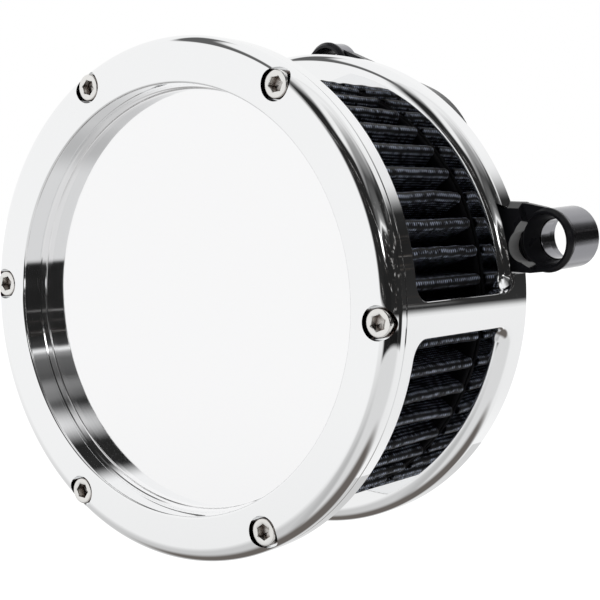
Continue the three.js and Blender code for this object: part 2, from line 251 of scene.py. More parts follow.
def prism(name, near, far):
    """A solid between two outlines that match point by point."""
    n = len(near)
    faces = [tuple(range(n)), tuple(reversed(range(n, 2 * n)))]
    faces += [(i, i + n, (i + 1) % n + n, (i + 1) % n) for i in range(n)]
    obj = add_object(name, near + far, faces)
    weld(obj)
    return obj


def extruded(name, outline, d0, d1):
    """A solid drawn in x and z, between two depths."""
    ends = [[(x * MM, depth(d), z * MM) for x, z in outline] for d in (d0, d1)]
    return prism(name, *ends)


def side_plate(name, outline, x0, x1):
    """A solid drawn in depth and z, between x0 and x1."""
    ends = [[(x * MM, depth(d), z * MM) for d, z in outline] for x in (x0, x1)]
    return prism(name, *ends)


def ring_profile(corners, radius, steps):
    """A closed loop of corners, each rounded."""
    made = []
    for i, corner in enumerate(corners):
        made += rounded_corner(corners[i - 1], corner, corners[(i + 1) % len(corners)], radius, steps)
    return made


def ring_clean(profile):
    """Drops points that repeat the one before, and a last point that repeats the first."""
    made = []
    for p in profile:
        if not made or math.dist(p, made[-1]) > 1e-6:
            made.append(p)
    return made[:-1] if made[0] == made[-1] else made


def boolean(obj, cutter, operation="DIFFERENCE"):
    modifier = obj.modifiers.new("cut", "BOOLEAN")
    modifier.operation = operation
    modifier.object = cutter
    modifier.solver = "EXACT"
    graph = bpy.context.evaluated_depsgraph_get()
    made = bpy.data.meshes.new_from_object(obj.evaluated_get(graph), depsgraph=graph)
    obj.modifiers.clear()
    obj.data = made
    bpy.data.objects.remove(cutter)
    return obj


def join(objects, name):
    bm = bmesh.new()
    for o in objects:
        bm.from_mesh(o.data)
    mesh = bpy.data.meshes.new(name)
    bm.to_mesh(mesh)
    bm.free()
    for o in objects:
        bpy.data.objects.remove(o)
    obj = bpy.data.objects.new(name, mesh)
    bpy.context.scene.collection.objects.link(obj)
    return obj


# ---- materials ----
def new_material(name, color, roughness, metallic):
    material = bpy.data.materials.new(name)
    material.use_nodes = True
    tree = material.node_tree
    shader = tree.nodes["Principled BSDF"]
    shader.inputs["Base Color"].default_value = (*color, 1)
    shader.inputs["Roughness"].default_value = roughness
    shader.inputs["Metallic"].default_value = metallic
    return material, tree, shader


def node(tree, kind, **values):
    made = tree.nodes.new(kind)
    for key, value in values.items():
        if key in made.inputs:
            made.inputs[key].default_value = value
        else:
            setattr(made, key, value)
    return made


def math_node(tree, operation, a, b=None):
    made = tree.nodes.new("ShaderNodeMath")
    made.operation = operation
    for i, value in enumerate([a, b]):
        if value is None:
            continue
        if isinstance(value, (int, float)):
            made.inputs[i].default_value = value
        else:
            tree.links.new(value, made.inputs[i])
    return made.outputs[0]


def ramp(tree, factor, stops):
    made = tree.nodes.new("ShaderNodeValToRGB")
    elements = made.color_ramp.elements
    while len(elements) < len(stops):
        elements.new(0.5)
    for element, (position, color) in zip(elements, stops):
        element.position = position
        element.color = color
    tree.links.new(factor, made.inputs[0])
    return made.outputs[0]


def grey(v):
    return (v, v, v, 1)


def chrome_material():
    material, tree, shader = new_material("chrome", (0.93, 0.935, 0.94), 0.03, 1)
    where = node(tree, "ShaderNodeTexCoord")
    haze = node(tree, "ShaderNodeTexNoise", Scale=22.0, Detail=4.0)
    tree.links.new(where.outputs["Object"], haze.inputs["Vector"])
    rough = ramp(tree, haze.outputs["Fac"], [(0.35, grey(0.018)), (0.75, grey(0.05))])
    tree.links.new(rough, shader.inputs["Roughness"])
    wave = node(tree, "ShaderNodeTexNoise", Scale=60.0, Detail=2.0)
    tree.links.new(where.outputs["Object"], wave.inputs["Vector"])
    bump = node(tree, "ShaderNodeBump", Strength=0.02, Distance=0.0002)
    tree.links.new(wave.outputs["Fac"], bump.inputs["Height"])
    tree.links.new(bump.outputs["Normal"], shader.inputs["Normal"])
    return material


def turned_metal(name, color, roughness, ring_scale=2500.0, strength=0.05):
    """Bare metal with the fine rings that turning leaves about the filter's axis."""
    material, tree, shader = new_material(name, color, roughness, 1)
    where = node(tree, "ShaderNodeTexCoord")
    split = node(tree, "ShaderNodeSeparateXYZ")
    tree.links.new(where.outputs["Object"], split.inputs[0])
    xx = math_node(tree, "MULTIPLY", split.outputs["X"], split.outputs["X"])
    zz = math_node(tree, "MULTIPLY", split.outputs["Z"], split.outputs["Z"])
    radius = math_node(tree, "SQRT", math_node(tree, "ADD", xx, zz))
    noise = node(tree, "ShaderNodeTexNoise", noise_dimensions="1D", Scale=ring_scale, Detail=3.0)
    tree.links.new(radius, noise.inputs["W"])
    bump = node(tree, "ShaderNodeBump", Strength=strength, Distance=0.0002)
    tree.links.new(noise.outputs["Fac"], bump.inputs["Height"])
    tree.links.new(bump.outputs["Normal"], shader.inputs["Normal"])
    cloud = node(tree, "ShaderNodeTexNoise", Scale=30.0, Detail=3.0)
    tree.links.new(where.outputs["Object"], cloud.inputs["Vector"])
    rough = ramp(tree, cloud.outputs["Fac"], [(0.3, grey(roughness * 0.85)), (0.7, grey(roughness * 1.15))])
    tree.links.new(rough, shader.inputs["Roughness"])
    return material


def paint_hollow_shade(material, dark):
    """Paints shade into small hollows: the base colour turns to the given dark colour where ambient occlusion finds
    surfaces close by.
    """
    tree = material.node_tree
    shader = tree.nodes["Principled BSDF"]
    # painted shade: ambient occlusion mixed into the base colour
    hollow = node(tree, "ShaderNodeAmbientOcclusion", samples=8)
    hollow.inputs["Distance"].default_value = 0.003
    hollow.inputs["Color"].default_value = grey(1.0)
    light = tuple(shader.inputs["Base Color"].default_value)
    color = ramp(tree, hollow.outputs["AO"], [(0.35, dark), (0.90, light)])
    tree.links.new(color, shader.inputs["Base Color"])


def grained_material(name, color, roughness, shine=0.5):
    """A matt surface with a fine grain."""
    material, tree, shader = new_material(name, color, roughness, 0.0)
    shader.inputs["Specular IOR Level"].default_value = shine
    where = node(tree, "ShaderNodeTexCoord")
    fine = node(tree, "ShaderNodeTexNoise", Scale=2500.0, Detail=2.0)
    tree.links.new(where.outputs["Object"], fine.inputs["Vector"])
    bump = node(tree, "ShaderNodeBump", Strength=0.08, Distance=0.0002)
    tree.links.new(fine.outputs["Fac"], bump.inputs["Height"])
    tree.links.new(bump.outputs["Normal"], shader.inputs["Normal"])
    cloud = node(tree, "ShaderNodeTexNoise", Scale=45.0, Detail=4.0)
    tree.links.new(where.outputs["Object"], cloud.inputs["Vector"])
    rough = ramp(tree, cloud.outputs["Fac"], [(0.3, grey(roughness * 0.85)), (0.7, grey(roughness * 1.2))])
    tree.links.new(rough, shader.inputs["Roughness"])
    return material


CHROME = chrome_material()
POLISHED = turned_metal("polished_plate", (0.98, 0.98, 0.985), 0.06, 900.0, 0.015)
SLEEVE = turned_metal("sleeve_metal", (0.30, 0.30, 0.32), 0.17)
STEEL = turned_metal("plated_steel", (0.82, 0.81, 0.79), 0.16, 2500.0, 0.1)
# painted shade, dark brown, in the screw sockets and other small hollows of the plated steel
paint_hollow_shade(STEEL, (0.10, 0.06, 0.04, 1))
ANODISED = grained_material("black_anodised", (0.010, 0.010, 0.012), 0.27, 0.22)
URETHANE = grained_material("moulded_urethane", (0.002, 0.002, 0.003), 0.8, 0.1)
BARE = grained_material("machined_pocket", (0.36, 0.36, 0.36), 0.5, 0.4)
RUBBER = grained_material("gasket_rubber", (0.02, 0.02, 0.02), 0.6)


def gauze_material():
    """Oiled black gauze under fine wire mesh. Its u runs round the folds and v along them, both in metres."""
    material, tree, shader = new_material("pleated_gauze", (0.015, 0.016, 0.02), 0.45, 0.0)
    uv = node(tree, "ShaderNodeUVMap", uv_map="folds")
    split = node(tree, "ShaderNodeSeparateXYZ")
    tree.links.new(uv.outputs["UV"], split.inputs[0])
    wires = 2 * math.pi / (1.3 * MM)
    dots = []
    for axis in ("X", "Y"):
        wave = math_node(tree, "SINE", math_node(tree, "MULTIPLY", split.outputs[axis], wires))
        dots.append(math_node(tree, "ADD", math_node(tree, "MULTIPLY", wave, 0.5), 0.5))
    dot = math_node(tree, "POWER", math_node(tree, "MULTIPLY", dots[0], dots[1]), 1.6)
    where = node(tree, "ShaderNodeTexCoord")
    patchy = node(tree, "ShaderNodeTexNoise", Scale=420.0, Detail=4.0)
    tree.links.new(where.outputs["Object"], patchy.inputs["Vector"])
    uneven = ramp(tree, patchy.outputs["Fac"], [(0.40, grey(0.08)), (0.62, grey(1.0))])
    shade = math_node(tree, "MULTIPLY", dot, uneven)
    color = ramp(tree, shade, [(0.02, (0.002, 0.002, 0.003, 1)), (0.7, (0.72, 0.80, 1.0, 1))])
    tree.links.new(color, shader.inputs["Base Color"])
    metal = ramp(tree, shade, [(0.1, grey(0.0)), (0.5, grey(0.9))])
    tree.links.new(metal, shader.inputs["Metallic"])
    shader.inputs["Specular IOR Level"].default_value = 0.12
    bump = node(tree, "ShaderNodeBump", Strength=1.0, Distance=0.0003)
    tree.links.new(dot, bump.inputs["Height"])
    tree.links.new(bump.outputs["Normal"], shader.inputs["Normal"])
    return material


GAUZE = gauze_material()


def coat(obj, material):
    obj.data.materials.clear()
    obj.data.materials.append(material)


def finish_piece(obj, body, nodes, material):
    """nodes are the CAD nodes that the piece stands for."""
    coat(obj, material)
    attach(obj, body)
    if nodes:
        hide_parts(*nodes)
    return obj


# ---- cover ring ----
def screw_spots():
    return [(SCREW_R * math.cos(a * DEG), SCREW_R * math.sin(a * DEG)) for a in range(0, 360, 60)]


def make_cover_ring():
    profile = [(COVER_BORE_R, SEAM_D - 0.02), (COVER_BORE_R, BORE_EDGE)]
    profile += arc((COVER_BORE_R + BORE_EDGE, BORE_EDGE), BORE_EDGE, 180, 270, 8)
    profile += arc((BODY_R - RIM, RIM), RIM, -90, 0, 24)
    profile += [(BODY_R, SEAM_D - 0.45), (BODY_R - 0.4, SEAM_D - 0.02)]
    ring = lathe("cover_ring_turned", ring_clean(profile), segments=720)
    cutters = []
    shank_r = 2.8
    hole = [(0, -1), (HOLE_R, -1), (HOLE_R, HOLE_D), (shank_r, HOLE_D), (shank_r, SEAM_D + 1), (0, SEAM_D + 1)]
    for i, spot in enumerate(screw_spots()):
        cutters.append(lathe(f"cut_{i}", hole, spot, 96, closed=False))
    boolean(ring, join(cutters, "cover_cuts"))
    surfaces = [
        on_torus(BODY_R - RIM, RIM, RIM),
        on_cylinder(BODY_R),
        on_cylinder(COVER_BORE_R, outward=-1),
        on_torus(COVER_BORE_R + BORE_EDGE, BORE_EDGE, BORE_EDGE),
        on_plane(0, -1),
    ]
    surfaces += [on_cylinder(HOLE_R, spot, -1) for spot in screw_spots()]
    exact_normals(ring, surfaces)
    return finish_piece(ring, "cover", ["cover_ring"], CHROME)


# ---- cover plate ----
def make_cover_plate():
    corner = 0.5
    profile = [(0, PLATE_D), (PLATE_POCKET_R - corner, PLATE_D)]
    profile += arc((PLATE_POCKET_R - corner, PLATE_D - corner), corner, 90, 0, 4)[1:]
    profile += [(PLATE_POCKET_R, SEAM_D + 0.3), (PLATE_POCKET_R + 0.35, SEAM_D)]
    profile += [(PLATE_R, SEAM_D), (PLATE_R, PLATE_BACK_D), (0, PLATE_BACK_D)]
    plate = lathe("cover_plate_turned", profile, segments=540, closed=False)
    exact_normals(plate, [on_plane(PLATE_D, -1), on_cylinder(PLATE_POCKET_R, outward=-1), on_cylinder(PLATE_R)])
    return finish_piece(plate, "cover", ["cover_plate"], POLISHED)


# ---- socket head screws ----
def screw_mesh(name, head_r, head_h, shank_r, length, flats, socket_d=2.9, rounding=0.7, sides=72):
    """A skin over loops of points from the socket's bottom to the shank's end. The head's face is at y 0 and the
    shank runs towards +y."""
    turns = [2 * math.pi * k / sides for k in range(sides)]
    pitch = 0.9
    thread_d = 0.35
    chamfer_r = flats / 2 * 1.22
    rings = []

    def circle(r, d):
        return [(r * math.cos(a), d, r * math.sin(a)) for a in turns]

    def hexagon(size, d):
        points = []
        for a in turns:
            local = (a + math.pi / 6) % (math.pi / 3) - math.pi / 6
            r = size / 2 / math.cos(local)
            points.append((r * math.cos(a), d, r * math.sin(a)))
        return points

    rings.append(hexagon(flats * 0.02, socket_d + 0.5))
    rings.append(hexagon(flats * 0.5, socket_d + 0.25))
    rings.append(hexagon(flats, socket_d))
    rings.append(hexagon(flats, 0.25))
    rings.append(hexagon(flats + 0.12, 0.1))
    rings.append(circle(chamfer_r, 0.0))
    rings.append(circle((chamfer_r + head_r - rounding) / 2, 0.0))
    for r, d in arc((head_r - rounding, rounding), rounding, -90, 0, 6):
        rings.append(circle(r, d))
    rings.append(circle(head_r, head_h - 0.2))
    rings.append(circle(head_r - 0.2, head_h))
    rings.append(circle(shank_r + 0.3, head_h))
    rings.append(circle(shank_r, head_h + 0.3))
    for i in range(int(length / pitch)):
        d = head_h + 0.6 + i * pitch
        rings.append(circle(shank_r, d))
        rings.append(circle(shank_r - thread_d, d + pitch / 2))
    rings.append(circle(shank_r, head_h + length - 0.5))
    rings.append(circle(shank_r - 0.6, head_h + length))
    rings.append(circle(0.02, head_h + length))
    verts = []
    for ring in rings:
        verts.extend(ring)
    faces = []
    for i in range(len(rings) - 1):
        for k in range(sides):
            a = i * sides + k
            b = i * sides + (k + 1) % sides
            faces.append((a, b, b + sides, a + sides))
    faces.append(tuple(range(sides)))
    faces.append(tuple(reversed(range((len(rings) - 1) * sides, len(rings) * sides))))
    obj = add_object(name, [(x * MM, y * MM, z * MM) for x, y, z in verts], faces)
    bm = bmesh.new()
    bm.from_mesh(obj.data)
    bmesh.ops.recalc_face_normals(bm, faces=bm.faces)
    bm.to_mesh(obj.data)
    bm.free()
    return obj


def make_screws():
    master = screw_mesh("screw_master", head_r=4.76, head_h=4.6, shank_r=2.5, length=7.6, flats=4.76)
    spins = [8, 22, 41, 15, 33, 52]
    for i, (x, z) in enumerate(screw_spots()):
        screw = bpy.data.objects.new(f"cover_screw_{i + 1}_head", master.data.copy())
        bpy.context.scene.collection.objects.link(screw)
        place = Matrix.Translation((x * MM, depth(HEAD_D), z * MM))
        screw.data.transform(place @ Matrix.Rotation(spins[i] * DEG, 4, "Y"))
        smooth(screw, 35)
        finish_piece(screw, f"screw_{i + 1}", [f"cover_screw_{i + 1}"], STEEL)
    bpy.data.objects.remove(master)


# ---- cage ----
BLOCK = 16  # columns of faces across half a strut
SPAN = 200  # columns of faces across a window


class Patches:
    def __init__(self):
        self.verts = []
        self.faces = []

    def grid(self, rows):
        """rows of points (angle in degrees, radius, depth), all of one length."""
        start = len(self.verts)
        width = len(rows[0])
        for row in rows:
            for angle, r, d in row:
                self.verts.append((r * math.cos(angle * DEG) * MM, depth(d), r * math.sin(angle * DEG) * MM))
        for i in range(len(rows) - 1):
            for j in range(width - 1):
                a = start + i * width + j
                self.faces.append((a, a + 1, a + 1 + width, a + width))


def ease(t):
    t = min(max(t, 0.0), 1.0)
    return t * t * (3 - 2 * t)


def window_side():
    """Points down one side of a window, front to back, as (degrees from its middle, depth, across, along, size),
    and the angle where its straight front edge ends. across and along are the unit normal out of the window.
    size is the radius the outer edge is rounded to. It grows round the rear corner from a strut's lip to the rear
    ring's big round."""
    side = 180 / STRUTS - STRUT_HALF_DEG
    flat = side - CORNER_R / BODY_R / DEG
    made = []
    for a in spread(0, 90, 14):
        c, n = math.cos(a * DEG), math.sin(a * DEG)
        made.append((flat + CORNER_R * n / BODY_R / DEG, WINDOW_D + CORNER_R * (1 - c), n, -c, LIP))
    for d in spread(WINDOW_D + CORNER_R, FLOOR_D - CORNER_R, 16)[1:-1]:
        made.append((side, d, 1.0, 0.0, LIP))
    for a in spread(0, 90, 22):
        c, n = math.cos(a * DEG), math.sin(a * DEG)
        size = LIP + (RIM - LIP) * ease(a / 90)
        made.append((flat + CORNER_R * c / BODY_R / DEG, FLOOR_D - CORNER_R * (1 - n), c, n, size))
    return made, flat


def cage_sector(patches, centre):
    """One window and the halves of the struts on each side of it."""
    half = 180 / STRUTS
    side, flat = window_side()
    loop = list(side)
    loop += [(a, FLOOR_D, 0.0, 1.0, RIM) for a in spread(flat, -flat, SPAN)[1:-1]]
    loop += [(-a, d, -across, along, size) for a, d, across, along, size in reversed(side)]
    loop += [(a, WINDOW_D, 0.0, -1.0, LIP) for a in spread(-flat, flat, SPAN)[1:-1]]
    loop.append(loop[0])

    def edge(point, share):
        """The rounded edge of the window's wall, from share 0 at the wall to 1 at the outer skin."""
        a, d, across, along, size = point
        t = math.pi / 2 * share
        out = size * (1 - math.cos(t))
        return centre + a + across * out / BODY_R / DEG, BODY_R - size + size * math.sin(t), d + along * out

    wall = [[(centre + p[0], SHELL_R, p[1]) for p in loop]]
    patches.grid(wall + [[edge(p, share) for p in loop] for share in spread(0, 1, 12)])

    for sign in (1, -1):
        outer = []
        inner = []
        for a, d, across, along, size in side:
            angle, r, depth_out = edge((sign * a, d, sign * across, along, size), 1)
            outer.append([(v, r, depth_out) for v in spread(angle, centre + sign * half, BLOCK)])
            inner.append([(v, SHELL_R, d) for v in spread(centre + sign * a, centre + sign * half, BLOCK)])
        patches.grid(outer)
        patches.grid(inner)

    columns = spread(-half, -flat, BLOCK) + spread(-flat, flat, SPAN)[1:] + spread(flat, half, BLOCK)[1:]

    def whole(r, d):
        return [(centre + a, r, d) for a in columns]

    # front ring, from the window round its front to the skin
    patches.grid([
        whole(SHELL_R, WINDOW_D),
        whole(FRONT_BORE_R, WINDOW_D),
        whole(FRONT_BORE_R, SEAM_D + 0.4),
        whole(FRONT_BORE_R + 0.4, SEAM_D),
        whole(BODY_R - 0.4, SEAM_D),
        whole(BODY_R - 0.12, SEAM_D + 0.12),
        whole(BODY_R, SEAM_D + 0.4),
        whole(BODY_R, WINDOW_D - LIP),
    ])
    # rear ring, from the skin round its back to the floor
    patches.grid([
        whole(BODY_R, FLOOR_D + RIM),
        whole(BODY_R, BODY_D - 0.8),
        whole(BODY_R - 0.25, BODY_D - 0.25),
        whole(BODY_R - 0.8, BODY_D),
        whole(SHELL_R + 0.3, BODY_D),
        whole(SHELL_R, BODY_D - 0.3),
        whole(SHELL_R, FLOOR_BACK_D),
        whole((SHELL_R + FLOOR_HOLE_R) / 2, FLOOR_BACK_D),
        whole(FLOOR_HOLE_R, FLOOR_BACK_D),
        whole(FLOOR_HOLE_R, FLOOR_D),
        whole(FLOOR_EDGE_R, FLOOR_D),
        whole(SHELL_R, FLOOR_D),
    ])


def make_cage():
    patches = Patches()
    for i in range(STRUTS):
        cage_sector(patches, (i + 0.5) * 360 / STRUTS)
    cage = add_object("cage_body", patches.verts, patches.faces)
    weld(cage, 3e-6)
    # the notch that lets the arm out
    notch = [(NOTCH_D, ARM_BOTTOM - 0.3), (BEHIND_D, ARM_BOTTOM - 0.3)] + list(reversed(NOTCH_TOP))[:-1]
    boolean(cage, side_plate("notch", notch, 75.1, 97))
    surfaces = [
        on_cylinder(BODY_R),
        on_cylinder(SHELL_R, outward=-1),
        on_cylinder(FRONT_BORE_R, outward=-1),
        on_torus(SHELL_R, FLOOR_D + RIM, RIM),
        on_plane(FLOOR_D, -1),
    ]
    exact_normals(cage, surfaces)
    return finish_piece(cage, "base", ["cage"], CHROME)


# ---- element ----
PLEATS = 50
TIP_R = 79.4
ROOT_R = 62.0
RIDGE = 1.15
VALLEY = 1.3
PLEAT_D = 16.0
PLEAT_BACK_D = 71.3
CAP_BORE_R = 58


def pleat_line():
    """One fold from ridge to ridge as (radius, angle in degrees) points: round ridge, straight flank, round
    valley, and the same mirrored."""
    pitch = 360 / PLEATS
    ridge_r = TIP_R - RIDGE
    valley_r = ROOT_R + VALLEY
    ridge_end = RIDGE / ridge_r / DEG
    valley_end = pitch / 2 - VALLEY / valley_r / DEG
    quarter = [(math.cos(a * DEG), math.sin(a * DEG)) for a in spread(0, 90, 6)]
    points = [(ridge_r + RIDGE * c, RIDGE * s / ridge_r / DEG) for c, s in quarter]
    for t in spread(0, 1, 12)[1:-1]:
        points.append((ridge_r + (valley_r - ridge_r) * t, ridge_end + (valley_end - ridge_end) * t))
    points += [(valley_r - VALLEY * s, pitch / 2 - VALLEY * c / valley_r / DEG) for c, s in quarter]
    mirrored = [(r, pitch - a) for r, a in reversed(points)]
    return points + mirrored[1:-1]


def make_pleats():
    """The folds, each leaning and swelling a little differently along its length."""
    pitch = 360 / PLEATS
    length = PLEAT_BACK_D - PLEAT_D
    rows = 56
    around = [(r, a + k * pitch) for k in range(PLEATS) for r, a in pleat_line()]
    n = len(around)
    verts = []
    rng = np.random.default_rng(4)
    lean = rng.normal(0, 0.22, (PLEATS + 1, 6))
    swell = rng.normal(0, 0.28, (PLEATS + 1, 6))
    for i in range(rows + 1):
        t = i / rows
        for j, (r, a) in enumerate(around):
            k = int(round(a / pitch)) % PLEATS
            share = max(0.0, (r - ROOT_R) / (TIP_R - ROOT_R))
            w = lean[k]
            bend = w[0] * math.sin(math.pi * t) + w[1] * math.sin(2 * math.pi * t + w[2] * 9)
            bend += w[3] * 0.35 * math.sin(9 * math.pi * t + w[4] * 20)
            s = swell[k]
            rise = s[0] * math.sin(math.pi * t) * 0.8 + s[1] * 0.2 * math.sin(11 * t + s[2] * 20)
            rise += s[3] * 0.18 * math.sin(31 * t + s[4] * 20)
            rr = r + share * rise - 0.15 * share
            aa = a + bend * share / rr / DEG
            y = depth(PLEAT_D + length * t)
            verts.append((rr * math.cos(aa * DEG) * MM, y, rr * math.sin(aa * DEG) * MM))
    faces = []
    for i in range(rows):
        for j in range(n):
            a = i * n + j
            b = i * n + (j + 1) % n
            faces.append((a, b, b + n, a + n))
    obj = add_object("filter_pleats_sheet", verts, faces)
    mesh = obj.data
    # u runs round the folds and v along them, in metres
    lengths = [0.0]
    for j in range(n):
        r0, a0 = around[j]
        r1, a1 = around[(j + 1) % n]
        if j == n - 1:
            a1 += 360
        x0, z0 = r0 * math.cos(a0 * DEG), r0 * math.sin(a0 * DEG)
        x1, z1 = r1 * math.cos(a1 * DEG), r1 * math.sin(a1 * DEG)
        lengths.append(lengths[-1] + math.hypot(x1 - x0, z1 - z0) * MM)
    layer = mesh.uv_layers.new(name="folds")
    for poly in mesh.polygons:
        j = poly.index % n
        i = poly.index // n
        for corner, loop in enumerate(poly.loop_indices):
            u = lengths[j] if corner in (0, 3) else lengths[j + 1]
            v = (i if corner in (0, 1) else i + 1) / rows * length * MM
            layer.data[loop].uv = (u, v)
    mesh.shade_smooth()
    solidify = obj.modifiers.new("thickness", "SOLIDIFY")
    solidify.thickness = 0.9 * MM
    solidify.offset = -1
    return finish_piece(obj, "element", ["filter_pleats"], GAUZE)


def make_caps():
    for name, d, height, radius in (("front", 13.1, 5.4, 80.2), ("rear", 71.0, 2.6, 79.0)):
        corners = [(CAP_BORE_R, d), (radius, d), (radius, d + height), (CAP_BORE_R, d + height)]
        cap = lathe(f"filter_{name}_cap_ring", ring_profile(corners, 1.0, 5))
        smooth(cap, 30)
        finish_piece(cap, "element", [f"filter_{name}_cap"], URETHANE)


# ---- backing plate, arm, eyes ----
# each eye: its centre (x, z, depth), how far its axis leans outwards and upwards in degrees, how far in front of
# it the plate is cleared, and where its sleeve ends
EYE_RIGHT = ((96.9, 24.15, 88.0), (11.9, 4.7), 20, 13.9)
EYE_TOP = ((-3.0, 84.45, 93.5), (11.9, 4.7), 5.5, 5.5)
# along an eye's axis from its centre, a rim runs from its front to its back, and a sleeve starts behind it
EYE_R = 11.4
RIM_FRONT = -2.8
RIM_BACK = -0.7
MOUTH_R = 9.3
MOUTH_BACK = 4.0
SLEEVE_R = 10.9
SLEEVE_SEAT_R = 9.2
SLEEVE_BORE_R = 7.0
ARM_TOP = 36.9
ARM_BOTTOM = 12.5
BLOCK_D = 81.5
BLOCK_R = 94.2
LINK_D = 85.6
LINK_BACK_D = 90.6
POCKET = (90.4, 21.9)
POCKET_R = 6.0
POCKET_BACK_D = 88.8
SKIN = 0.25  # how far the bare walls stand into the hollows they line
LOBE = (54.5 * math.cos(58.4 * DEG), 54.5 * math.sin(58.4 * DEG))
LOBE_R = 34.2
BRACKET_D = 91.1
BRACKET_BACK_D = 96.1
BOSS_D = 74.0
BOSS_R = 45.6
BOSS_BACK_R = 43
BOSS_BACK_D = 98
INTAKE_R = 25.5
MOUTH_ROUND = 18
DISC_D = 79.9
DISC_R = 84.1


def eye_matrix(eye):
    (x, z, d), (out, up) = eye[:2]
    turn = Matrix.Rotation(-out * DEG, 4, "Z") @ Matrix.Rotation(up * DEG, 4, "X")
    return Matrix.Translation((x * MM, depth(d), z * MM)) @ turn


def eye_lathe(name, profile, eye, segments=144, closed=True):
    """A turned part whose depths are counted along an eye's axis from its centre."""
    obj = lathe(name, [(r, s + PLATE_D) for r, s in profile], segments=segments, closed=closed)
    obj.data.transform(eye_matrix(eye))
    return obj


def hull(points):
    """The convex outline round some points."""
    points = sorted(set(points))

    def half(items):
        made = []
        for p in items:
            while len(made) > 1:
                (ax, ay), (bx, by) = made[-2], made[-1]
                if (bx - ax) * (p[1] - ay) - (by - ay) * (p[0] - ax) > 0:
                    break
                made.pop()
            made.append(p)
        return made

    lower = half(points)
    upper = half(reversed(points))
    return lower[:-1] + upper[:-1]


def eye_ring(name, eye):
    """The boss round a breather bolt: a bevelled rim and a conical mouth that runs back into the sleeve."""
    wall_r = 8.9
    profile = [(7.3, MOUTH_BACK), (MOUTH_R, RIM_FRONT), (MOUTH_R + 1, RIM_FRONT), (EYE_R, RIM_FRONT + 1.1)]
    profile += [(EYE_R, RIM_BACK), (wall_r, RIM_BACK), (wall_r, MOUTH_BACK)]
    return eye_lathe(name, ring_profile(profile, 0.25, 3), eye)


def clear_eye(obj, eye):
    """Cuts away what stands in front of the boss, in its bore and in the sleeve's place."""
    clear = eye[2]
    bore_r = MOUTH_R + 0.2
    room_r = SLEEVE_R + 0.3
    profile = [(0, -clear), (bore_r, -clear), (bore_r, RIM_BACK), (room_r, RIM_BACK)]
    if eye is EYE_RIGHT:
        profile += [(room_r, 2), (20, 2), (20, 40), (0, 40)]
    else:
        profile += [(room_r, 25), (0, 25)]
    boolean(obj, eye_lathe("room", profile, eye, closed=False))


def make_right_arm():
    """A block on the backing plate's edge with a link that carries the eye."""
    inner_x = 72
    (x, z, _) = EYE_RIGHT[0]
    link = hull(arc((x, z), EYE_R - 0.4, -90, 90, 48) +
                [(inner_x, ARM_BOTTOM), (inner_x, ARM_TOP), (86, ARM_TOP), (89, ARM_BOTTOM)])
    arm = extruded("right_arm", link, LINK_D, LINK_BACK_D)
    rim = [(math.sqrt(BLOCK_R ** 2 - v ** 2), v) for v in spread(ARM_BOTTOM, ARM_TOP, 24)]
    block = extruded("block", [(inner_x, ARM_TOP), (inner_x, ARM_BOTTOM)] + rim, BLOCK_D, BOSS_BACK_D)
    boolean(arm, block, "UNION")
    above = [(d, v - 0.3) for d, v in NOTCH_TOP] + [(BEHIND_D, 50), (70, 50)]
    boolean(arm, side_plate("above", above, 60, 120))
    boolean(arm, bar("pocket", POCKET_R, 60, POCKET_BACK_D, POCKET, 96))
    clear_eye(arm, EYE_RIGHT)
    return arm


def make_pocket_liner():
    """The bare machined walls of the arm's pocket and of the eye's bore, where they lie inside the block."""
    front = BLOCK_D + 0.2
    inside, outside = POCKET_R - SKIN, POCKET_R + 0.1
    profile = [(inside, front), (outside, front), (outside, POCKET_BACK_D), (inside, POCKET_BACK_D)]
    liner = lathe("backing_pocket_wall", profile, POCKET, 144)
    bore_r = 9.4
    boolean(liner, eye_lathe("room", [(0, -20), (bore_r, -20), (bore_r, 10), (0, 10)], EYE_RIGHT, closed=False))
    wall = eye_lathe("eye_wall", [(9.25, -9), (9.6, -9), (9.6, -2.9), (9.25, -2.9)], EYE_RIGHT)
    boolean(wall, bar("in_front", 130, 60, front))
    boolean(wall, bar("in_pocket", POCKET_R, 60, POCKET_BACK_D, POCKET, 96))
    boolean(liner, wall, "UNION")
    skin_r = BLOCK_R - SKIN
    boolean(liner, lathe("outside", [(skin_r, 70), (130, 70), (130, 100), (skin_r, 100)]))
    smooth(liner, 30)
    return finish_piece(liner, "base", [], BARE)


def make_bracket():
    """The round lobe between the eyes, with the top eye at its end."""
    (x, z, _) = EYE_TOP[0]
    outline = hull(arc(LOBE, LOBE_R, 0, 357.5, 143) + arc((x, z), EYE_R - 1, 0, 357, 119))
    bracket = extruded("backing_bracket", outline, BRACKET_D, BRACKET_BACK_D)
    boolean(bracket, bar("hub_room", BOSS_BACK_R + 0.2, 80, BEHIND_D, segments=180))
    clear_eye(bracket, EYE_TOP)
    return bracket


def make_disc():
    """The round plate behind the cage, with the throttle boss and its bell mouth in the middle."""
    round_d = BOSS_D + MOUTH_ROUND
    profile = [(INTAKE_R, round_d)]
    profile += arc((INTAKE_R + MOUTH_ROUND, round_d), MOUTH_ROUND, 180, 270, 16)
    profile += [(BOSS_R, BOSS_D), (BOSS_R, DISC_D), (DISC_R, DISC_D), (DISC_R, BODY_D + 0.3)]
    profile += [(49, BODY_D + 2.3), (BOSS_BACK_R, 93), (BOSS_BACK_R, BOSS_BACK_D), (INTAKE_R, BOSS_BACK_D)]
    disc = lathe("backing_disc", ring_clean(profile))
    smooth(disc, 30)
    return disc


def smooth_by_bevel(obj):
    bevel = obj.modifiers.new("bevel", "BEVEL")
    bevel.width = 0.35 * MM
    bevel.segments = 3
    bevel.limit_method = "ANGLE"
    bevel.angle_limit = 35 * DEG
    obj.data.shade_smooth()
    modifier = obj.modifiers.new("weighted", "WEIGHTED_NORMAL")
    modifier.keep_sharp = True


